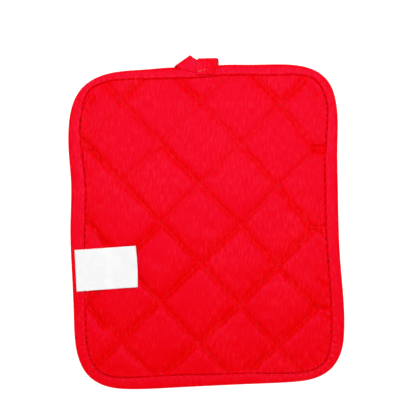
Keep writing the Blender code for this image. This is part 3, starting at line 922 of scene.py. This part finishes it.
# %% Binding mesh
STITCH_INSET = 1.7  # from the binding's inner edge to its stitching
BINDING_PROFILE = [
    # share of the plump part, how far in apart from that, how far above the edge's middle
    (0.0, 0.12, 0.9),
    (0.0, 0.45, 1.6),
    (0.0, 1.0, 2.1),
    (0.3, 1.0, 2.36),
    (0.7, 1.0, 2.42),
    (1.0, 1.0, 2.42),
    (1.0, 1.9, 2.4),
    (1.0, 2.6, 2.36),
    (1.0, 3.0, 2.33),
    (1.0, 3.5, 2.34),
    (1.0, 4.1, 2.32),
    (1.0, 4.5, 2.2),
    (1.0, 4.7, 1.85),
]
BINDING_RISE = 2.4  # its plump part above the edge's middle
BINDING_INNER = TAPE_THICKNESS + GAP
PINCH_DEPTH = 0.08
PINCH_HALF = 0.7
PINCH_HOLD = 0.6  # how much of the ripples the stitching holds flat
RIPPLE_FROM = 0.2  # share of the width at which the ripples set in
RIPPLE_RISE = 0.8


def binding_rows(side, gathered):
    """The rows of points from the fold to the inner edge, above (1) or below (-1)."""
    rows = []
    fixed_part = BINDING_PROFILE[-1][1]
    for share, further, rise in BINDING_PROFILE:
        inset = share * (width - fixed_part) + further
        pinch = np.exp(-(((width - inset - STITCH_INSET) / PINCH_HALF) ** 2))
        inner_part = smooth_step((inset / width - RIPPLE_FROM) / RIPPLE_RISE)
        height = rise - PINCH_DEPTH * by_stitch * pinch
        height = height + gathered * inner_part * (1 - PINCH_HOLD * pinch)
        rows.append(binding_row(inset, side * height))
    return rows


def binding_row(inset, rise):
    """One row of points, this far inside the edge and above its middle."""
    place = stations[:, :2] + station_inward * np.broadcast_to(inset, width.shape)[:, None]
    return np.column_stack([place, stations[:, 3] + rise])


inner_height = BINDING_RISE - TAPE_THICKNESS
rows = binding_rows(1, gather)[::-1]
rows += [binding_row(0.0, 0.0)]
rows += binding_rows(-1, gather_under)
rows += [binding_row(width, -inner_height), binding_row(BINDING_INNER, -inner_height)]
rows += [binding_row(BINDING_INNER, inner_height), binding_row(width, inner_height)]
section = np.array(rows)
faces = grid_faces(len(section), BINDING_STATIONS, rows_joined=True, columns_joined=True)
tape_cloth = woven_polyester("red polyester tape", "F10003", "F81424", 0.44)
binding = make_piece("folded_binding", section.reshape(-1, 3), faces, tape_cloth)
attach(binding, "root")
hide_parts("edge_binding")

# %% [markdown]
# ## The hanging loop
# The loop is a length of the same tape. Its ends are sewn on the front of the
# binding, and the rest is folded over behind the holder. A cloth simulation
# wouldn't find folds that fingers and an iron made. The tape is a ruled strip
# instead: each rule is a line across it, from its edge on the loop's inside to
# its edge on the outside, and the strip turns over where the rules do.

# %% Loop rules
FLOOR_HEIGHT = 0.5  # of the tape's middle where it lies on the surface
FRONT_RIGHT = [
    # inside x, y and height, outside x, y and height
    (-2.0, 113.7, 8.5, 12.4, 113.5, 7.1),
    (-1.6, 118.0, 8.5, 13.2, 117.8, 7.1),
    (-0.9, 121.5, 8.4, 13.7, 121.3, 7.1),
    (-0.3, 124.3, 8.2, 14.0, 124.1, 7.0),
]
BACK_RIGHT = [
    (1.0, 124.0, FLOOR_HEIGHT, 15.9, 124.2, FLOOR_HEIGHT),
    (2.4, 119.5, FLOOR_HEIGHT, 15.9, 119.5, FLOOR_HEIGHT),
    (4.2, 114.5, FLOOR_HEIGHT, 15.6, 114.5, FLOOR_HEIGHT),
]
BACK_LEFT = [
    (-5.4, 114.5, FLOOR_HEIGHT, -17.0, 114.5, FLOOR_HEIGHT),
    (-5.3, 119.2, FLOOR_HEIGHT, -17.2, 116.6, FLOOR_HEIGHT),
    (-5.6, 126.6, FLOOR_HEIGHT, -17.4, 118.8, FLOOR_HEIGHT),
]
FRONT_LEFT = [
    (-4.0, 127.6, 7.1, -15.6, 120.25, 7.1),
    (-2.6, 126.7, 7.1, -11.5, 118.6, 7.1),
    (-0.9, 125.6, 7.1, -7.0, 117.0, 7.1),
    (0.8, 124.4, 7.1, -2.9, 115.9, 7.1),
    (2.4, 123.2, 7.0, 0.4, 115.4, 7.0),
]
FOLD_RULES = 9
FOLD_REACH = 2.0  # how far a fold stands out
FOLD_SQUARENESS = 2.6  # 2 is a half round, and more is fuller
TURN_MIDDLE = np.array((-0.3, 109.5))
TURN_RULES = 17
TURN_INSIDE = 5.0
TURN_OUTSIDE = [15.8, 14.4, 13.8, 14.6, 16.7]


def turned_rules():
    """The rules round the loop's far end, from its right leg to its left leg."""
    rules = []
    for share in np.linspace(0, 1, TURN_RULES):
        outside = np.interp(share, np.linspace(0, 1, len(TURN_OUTSIDE)), TURN_OUTSIDE)
        ray = np.array((math.cos(math.pi * share), -math.sin(math.pi * share)))
        rules.append((*(TURN_MIDDLE + ray * TURN_INSIDE), FLOOR_HEIGHT,
                      *(TURN_MIDDLE + ray * outside), FLOOR_HEIGHT))
    return rules


def folded_rules(start, end, outward):
    """The rules round a fold that leads from one rule to the one above or below it."""
    start, end = np.array(start).reshape(2, 3), np.array(end).reshape(2, 3)
    power = 2 / FOLD_SQUARENESS
    rules = []
    for step in range(1, FOLD_RULES + 1):
        angle = math.pi * step / (FOLD_RULES + 1)
        swing = abs(math.sin(angle)) ** power * FOLD_REACH
        turn = math.cos(angle)
        share = 0.5 - 0.5 * math.copysign(abs(turn) ** power, turn)
        ends = start + (end - start) * share
        ends[:, :2] += np.array(outward) * swing
        rules.append(tuple(ends.ravel()))
    return rules


fold_run = np.array(FRONT_LEFT[0]).reshape(2, 3)
fold_run = (fold_run[1] - fold_run[0])[:2]
fold_out = np.array((fold_run[1], -fold_run[0])) / np.linalg.norm(fold_run)
rules = np.array(
    FRONT_RIGHT + folded_rules(FRONT_RIGHT[-1], BACK_RIGHT[0], (0, 1)) + BACK_RIGHT
    + turned_rules() + BACK_LEFT + folded_rules(BACK_LEFT[-1], FRONT_LEFT[0], fold_out)
    + FRONT_LEFT
)
print(len(rules), "rules across the tape")

# %% [markdown]
# ## The loop's tape
# Points across each rule make the strip. Its right end is gathered where it is
# sewn down, so small pleats are raised there. A Solidify modifier gives the
# tape its thickness and one level of subdivision rounds its edges, which is less
# work than modelling the tape's other side.

# %% Loop mesh
TAPE_COLUMNS = 26
RULE_STEPS = 3
PLEATS = [
    # share across the front right end, height, half width as a share
    (0.62, 0.7, 0.045),
    (0.78, 0.95, 0.04),
    (0.93, 0.9, 0.04),
]
PLEATS_FADE = (3, 7)  # rules between which the pleats run out

spans = np.arange(len(rules))
fine = np.linspace(0, len(rules) - 1, (len(rules) - 1) * RULE_STEPS + 1)
rules = np.stack([np.interp(fine, spans, column) for column in rules.T], axis=1)
share = np.linspace(0, 1, TAPE_COLUMNS)[None, :, None]
strip = rules[:, None, :3] * (1 - share) + rules[:, None, 3:] * share
pleat_fade = smooth_step((fine - PLEATS_FADE[0]) / (PLEATS_FADE[1] - PLEATS_FADE[0]))
for pleat_share, pleat_height, pleat_half in PLEATS:
    bulge = np.exp(-(((share[0, :, 0] - pleat_share) / pleat_half) ** 2))
    strip[:, :, 2] += pleat_height * (1 - pleat_fade)[:, None] * bulge[None, :]
faces = grid_faces(len(strip), TAPE_COLUMNS)
loop = make_piece("hanging_tape_loop", strip.reshape(-1, 3), faces, tape_cloth)
solidify = loop.modifiers.new("thickness", "SOLIDIFY")
solidify.thickness = TAPE_THICKNESS * MM
solidify.offset = 0
rounding = loop.modifiers.new("soft edges", "SUBSURF")
rounding.levels = 1
rounding.render_levels = 1
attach(loop, "root")
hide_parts("hanging_loop")

# %% [markdown]
# ## The label
# The label is a short length of white satin ribbon. It lies over the binding
# and the slope of the first diamonds, stiff enough to bridge the dips, with its
# free end curling up a little. Its height is found as cloth settles: each
# point sinks towards its neighbours until something carries it. A cloth
# simulation would do the same more slowly.

# %% Search for heights
def surface_tree(piece):
    """A search tree of a piece's faces, in metres."""
    corners = [vertex.co for vertex in piece.data.vertices]
    return BVHTree.FromPolygons(corners, [face.vertices for face in piece.data.polygons])


def height_at(place, trees, side=1):
    """The height in millimetres of the outermost surface, seen from above (1) or below (-1)."""
    start = Vector((*(np.asarray(place) + FIELD_MIDDLE) * MM, side))
    hits = [tree.ray_cast(start, Vector((0, 0, -side)))[0] for tree in trees]
    return side * max((side * hit.z / MM for hit in hits if hit), default=0.0)


pad_tree, binding_tree = surface_tree(pad), surface_tree(binding)
print("the middle of the pad is", round(height_at((0, 0), (pad_tree,)), 1), "mm high")

# %% Label heights
LABEL_CORNERS = [
    # x, y, how far the corner curls up
    (-98.4, -14.6, 0.0),
    (-52.1, -13.1, 2.2),
    (-51.7, -44.2, 2.6),
    (-98.0, -46.0, 0.2),
]
LABEL_THICKNESS = 0.35
LABEL_BOW = 0.55  # how far the middle of the free end stands out
LABEL_BOW_POWER = 6
LABEL_CURL_START = 0.55
LABEL_CELLS = (56, 38)
LABEL_SETTLING = 500  # rounds
LABEL_WEIGHT = 0.002  # how far it sinks in each round beyond its neighbours

columns, rows_up = LABEL_CELLS
top_left, top_right, bottom_right, bottom_left = np.array(LABEL_CORNERS)
across = (np.arange(columns + 1) / columns)[None, :, None]
up = (np.arange(rows_up + 1) / rows_up)[:, None, None]
lower_edge = bottom_left * (1 - across) + bottom_right * across
upper_edge = top_left * (1 - across) + top_right * across
label_grid = lower_edge * (1 - up) + upper_edge * up
bow = LABEL_BOW * across[:, :, 0] ** LABEL_BOW_POWER
label_grid[:, :, 0] += bow * 4 * (up * (1 - up))[:, :, 0]  # all of it halfway up
support = np.array([
    [height_at(place, (pad_tree, binding_tree)) for place in row[:, :2]] for row in label_grid
])
support = support + GAP / 2 + LABEL_THICKNESS / 2
heights = np.full(support.shape, support.max())
for _ in range(LABEL_SETTLING):
    padded = np.pad(heights, 1, mode="edge")
    around = padded[:-2, 1:-1] + padded[2:, 1:-1] + padded[1:-1, :-2] + padded[1:-1, 2:]
    heights = np.maximum(support, around / 4 - LABEL_WEIGHT)
curl = smooth_step((across[:, :, 0] - LABEL_CURL_START) / (1 - LABEL_CURL_START))
label_grid[:, :, 2] = heights + label_grid[:, :, 2] * curl
lowest, highest = label_grid[:, :, 2].min(), label_grid[:, :, 2].max()
print("label from", round(lowest, 1), "to", round(highest, 1), "mm high")

# %% [markdown]
# ## White satin
# Satin ribbon shows mostly its long floating threads, so it is smooth and has a
# soft gloss, with faint ribs across and a little cloudiness from handling. A
# plain white shader would look like paper. The face is bare.

# %% Label piece
RIB_SPACING = 0.5027
RIB_HEIGHT = 0.05
CLOUD_SIZE = 9.0
CLOUD_RANGE = (0.35, 0.65)

satin = new_material("white polyester satin")
place = add_node(satin, "ShaderNodeTexCoord", {}).outputs["Object"]
in_mm = add_node(
    satin, "ShaderNodeMapping", {"Vector": place, "Scale": (1 / MM,) * 3}
).outputs["Vector"]
ribs = add_node(
    satin, "ShaderNodeTexWave",
    {"Vector": in_mm, "Scale": WAVE_PERIOD / RIB_SPACING, "Distortion": 1.0, "Detail": 2.0},
    bands_direction="Y",
).outputs["Fac"]
clouds = add_node(
    satin, "ShaderNodeTexNoise", {"Vector": in_mm, "Scale": 1 / CLOUD_SIZE, "Detail": 3.0}
).outputs["Fac"]
tone = add_node(
    satin, "ShaderNodeMapRange",
    {"Value": clouds, "From Min": CLOUD_RANGE[0], "From Max": CLOUD_RANGE[1]},
).outputs["Result"]
white = add_node(
    satin, "ShaderNodeMix",
    {"Factor": tone, "A": linear("F5F5F6"), "B": linear("FAFAF9")}, data_type="RGBA",
).outputs["Result"]
satin_bump = add_node(
    satin, "ShaderNodeBump", {"Height": ribs, "Strength": 0.3, "Distance": RIB_HEIGHT * MM}
).outputs["Normal"]
satin_shader = add_node(
    satin, "ShaderNodeBsdfPrincipled",
    {"Base Color": white, "Roughness": 0.42, "Normal": satin_bump, "Sheen Weight": 0.1},
)
add_node(satin, "ShaderNodeOutputMaterial", {"Surface": satin_shader.outputs["BSDF"]})

faces = grid_faces(rows_up + 1, columns + 1)
label = make_piece("bare_label", label_grid.reshape(-1, 3), faces, satin)
solidify = label.modifiers.new("thickness", "SOLIDIFY")
solidify.thickness = LABEL_THICKNESS * MM
solidify.offset = 0
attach(label, "root")
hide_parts("side_label")

# %% [markdown]
# ## The sewing
# Every stitch is a short piece of thread that comes up through one needle hole
# and goes down through the next. A texture of dashes would be flat, and an
# object for each stitch would be slow. So all stitches of a kind are one joined
# mesh, made from arrays: a little tube per stitch, fat in the middle and thin
# at the ends, lying on the cloth and dipping into it.

# %% Stitch maker
THREAD_LIFT = 0.3  # of a thin thread's middle above the cloth, in radii
STITCH_SIDES = 6
STITCH_RINGS = [
    # share of the length, share of the radius, how far it dips in radii
    (0.0, 0.35, 1.8),
    (0.12, 0.8, 0.6),
    (0.5, 1.0, 0.0),
    (0.88, 0.8, 0.6),
    (1.0, 0.35, 1.8),
]


def stitch_mesh(name, pairs, tree, side, radius, lift, material):
    """One mesh of stitches between pairs of places, on a piece's face (1) or its back (-1)."""
    laid = [
        [(*spot, height_at(spot, (tree,), side) + side * lift) for spot in pair] for pair in pairs
    ]
    starts, ends = np.array(laid).transpose(1, 0, 2)
    run = (ends - starts) / np.linalg.norm(ends - starts, axis=1)[:, None]
    across = np.cross(run, (0, 0, 1.0))
    across /= np.linalg.norm(across, axis=1)[:, None]
    rise = np.cross(across, run) * side
    rings = []
    for share, thick, dip in STITCH_RINGS:
        centre = starts + (ends - starts) * share - rise * dip * radius
        for angle in np.arange(STITCH_SIDES) * 2 * math.pi / STITCH_SIDES:
            outward = across * math.cos(angle) + rise * math.sin(angle)
            rings.append(centre + outward * radius * thick)
    points = np.stack(rings, axis=1).reshape(-1, 3)
    tube = np.array(grid_faces(len(STITCH_RINGS), STITCH_SIDES, columns_joined=True))
    first_points = np.arange(len(starts)) * len(rings)
    faces = (tube[None] + first_points[:, None, None]).reshape(-1, 4)
    piece = make_piece(name, points, faces, material)
    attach(piece, "root")
    return piece


# %% [markdown]
# ## Sewing thread
# The thread is spun polyester in a few twisted plies, duller than the cloth. The
# plies show only close up, so a slanted wave in the bump stands for them, and no
# twisted mesh is needed.

# %% Thread material
PLY_SPACING = 0.2618
PLY_SLANT = math.radians(30)
PLY_HEIGHT = 0.05


def polyester_thread(name, colour):
    """Spun polyester thread: dull, with the twist of its plies in the bump."""
    material = new_material(name)
    place = add_node(material, "ShaderNodeTexCoord", {}).outputs["Object"]
    in_mm = add_node(
        material, "ShaderNodeMapping",
        {"Vector": place, "Scale": (1 / MM,) * 3, "Rotation": (0, 0, PLY_SLANT)},
    ).outputs["Vector"]
    plies = add_node(
        material, "ShaderNodeTexWave",
        {"Vector": in_mm, "Scale": WAVE_PERIOD / PLY_SPACING, "Distortion": 0.5},
    ).outputs["Fac"]
    bump = add_node(
        material, "ShaderNodeBump",
        {"Height": plies, "Strength": 0.4, "Distance": PLY_HEIGHT * MM},
    ).outputs["Normal"]
    shader = add_node(
        material, "ShaderNodeBsdfPrincipled",
        {"Base Color": linear(colour), "Roughness": 0.7, "Normal": bump},
    )
    add_node(material, "ShaderNodeOutputMaterial", {"Surface": shader.outputs["BSDF"]})
    print(name, "has", len(material.node_tree.nodes), "nodes")
    return material


quilting_thread = polyester_thread("dull red quilting thread", "B42822")
binding_thread = polyester_thread("red sewing thread", "E42E44")
loop_thread = polyester_thread("orange brown sewing thread", "D8663C")

# %% [markdown]
# ## The quilting's stitches
# The thread shows for a little over half of each stitch. The stitches follow
# their run with its wander and stop short of the binding. Dashes along a curve
# would float over the dips, so each end is laid on the pad by a ray.

# %% Quilting stitches
QUILT_THREAD_LENGTH = 2.7
QUILT_THREAD_RADIUS = 0.16
QUILT_THREAD_START = 0.6  # from the node at which a run starts
QUILT_THREAD_CLEARANCE = 0.8  # from the binding

pairs = []
for number, (start, end) in enumerate(seams):
    length = np.linalg.norm(end - start)
    run = (end - start) / length
    sideways = np.array((-run[1], run[0]))
    for step in np.arange(QUILT_THREAD_START, length, QUILT_STITCH):
        reaches = (step, min(step + QUILT_THREAD_LENGTH, length))
        pair = [start + run * r + sideways * wander(r, length, number) for r in reaches]
        depth, nearest = edge_near(np.array(pair))
        if not sunk[number] and (depth - edge[nearest, 2] >= QUILT_THREAD_CLEARANCE).all():
            pairs.append(pair)
for side, name in ((1, "quilting_stitches_face"), (-1, "quilting_stitches_back")):
    radius, lift = QUILT_THREAD_RADIUS, QUILT_THREAD_RADIUS * THREAD_LIFT
    stitches = stitch_mesh(name, pairs, pad_tree, side, radius, lift, quilting_thread)
print(len(pairs), "quilting stitches on each side")

# %% [markdown]
# ## The binding's stitches
# One row of stitches runs all round through face and back. It keeps its
# distance from the binding's inner edge, as a seam does that is guided by it,
# and its stitches are the ones that the pad's rim was shaped for above.

# %% Binding stitches
BINDING_THREAD_LENGTH = 2.1
BINDING_THREAD_RADIUS = 0.18

pairs = []
for number in range(round(edge_length / STITCH_LENGTH)):
    pair = []
    for shift in (-0.5, 0.5):
        place = (number + 0.5) * STITCH_LENGTH + shift * BINDING_THREAD_LENGTH
        sample = int(place / edge_length * EDGE_SAMPLES) % EDGE_SAMPLES
        inset = edge[sample, 2] - STITCH_INSET
        pair.append(edge[sample, :2] + edge_inward[sample] * inset)
    pairs.append(pair)
for side, name in ((1, "binding_stitches_face"), (-1, "binding_stitches_back")):
    radius, lift = BINDING_THREAD_RADIUS, BINDING_THREAD_RADIUS * THREAD_LIFT
    stitches = stitch_mesh(name, pairs, binding_tree, side, radius, lift, binding_thread)
print(len(pairs), "stitches round the binding, on each side")

# %% [markdown]
# ## The loop's stitches
# A few longer stitches in another thread tack the loop's end to the binding.
# They follow no rule, so each has a row in a table. The loop gets its thickness
# from modifiers, so its surface is taken after these.

# %% Loop stitches
LOOP_STITCHES = [
    # start x and y, end x and y
    (-0.3, 116.5, 2.9, 116.7),
    (3.9, 117.1, 6.0, 117.7),
    (6.4, 117.9, 8.6, 118.1),
    (11.2, 116.8, 13.6, 115.9),
]
LOOP_THREAD_RADIUS = 0.26
LOOP_THREAD_LIFT = 0.15

loop_graph = bpy.context.evaluated_depsgraph_get()
loop_tree = BVHTree.FromObject(loop, loop_graph)
pairs = np.array(LOOP_STITCHES).reshape(-1, 2, 2)
radius, lift = LOOP_THREAD_RADIUS, LOOP_THREAD_LIFT
tack = stitch_mesh("loop_stitches", pairs, loop_tree, 1, radius, lift, loop_thread)

# %% [markdown]
# ## Sizes
# The box of the dressed holder and the box of its solids are printed side by side.
# The dressed holder has to stay in the box of its solids.

# %% Finish
seen_low, seen_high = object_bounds()
sizes = {"cad": [list(cad_low), list(cad_high)], "visual": [list(seen_low), list(seen_high)]}
for name, (low, high) in sizes.items():
    print(name, "mm:", [round(1000 * (b - a), 1) for a, b in zip(low, high)])
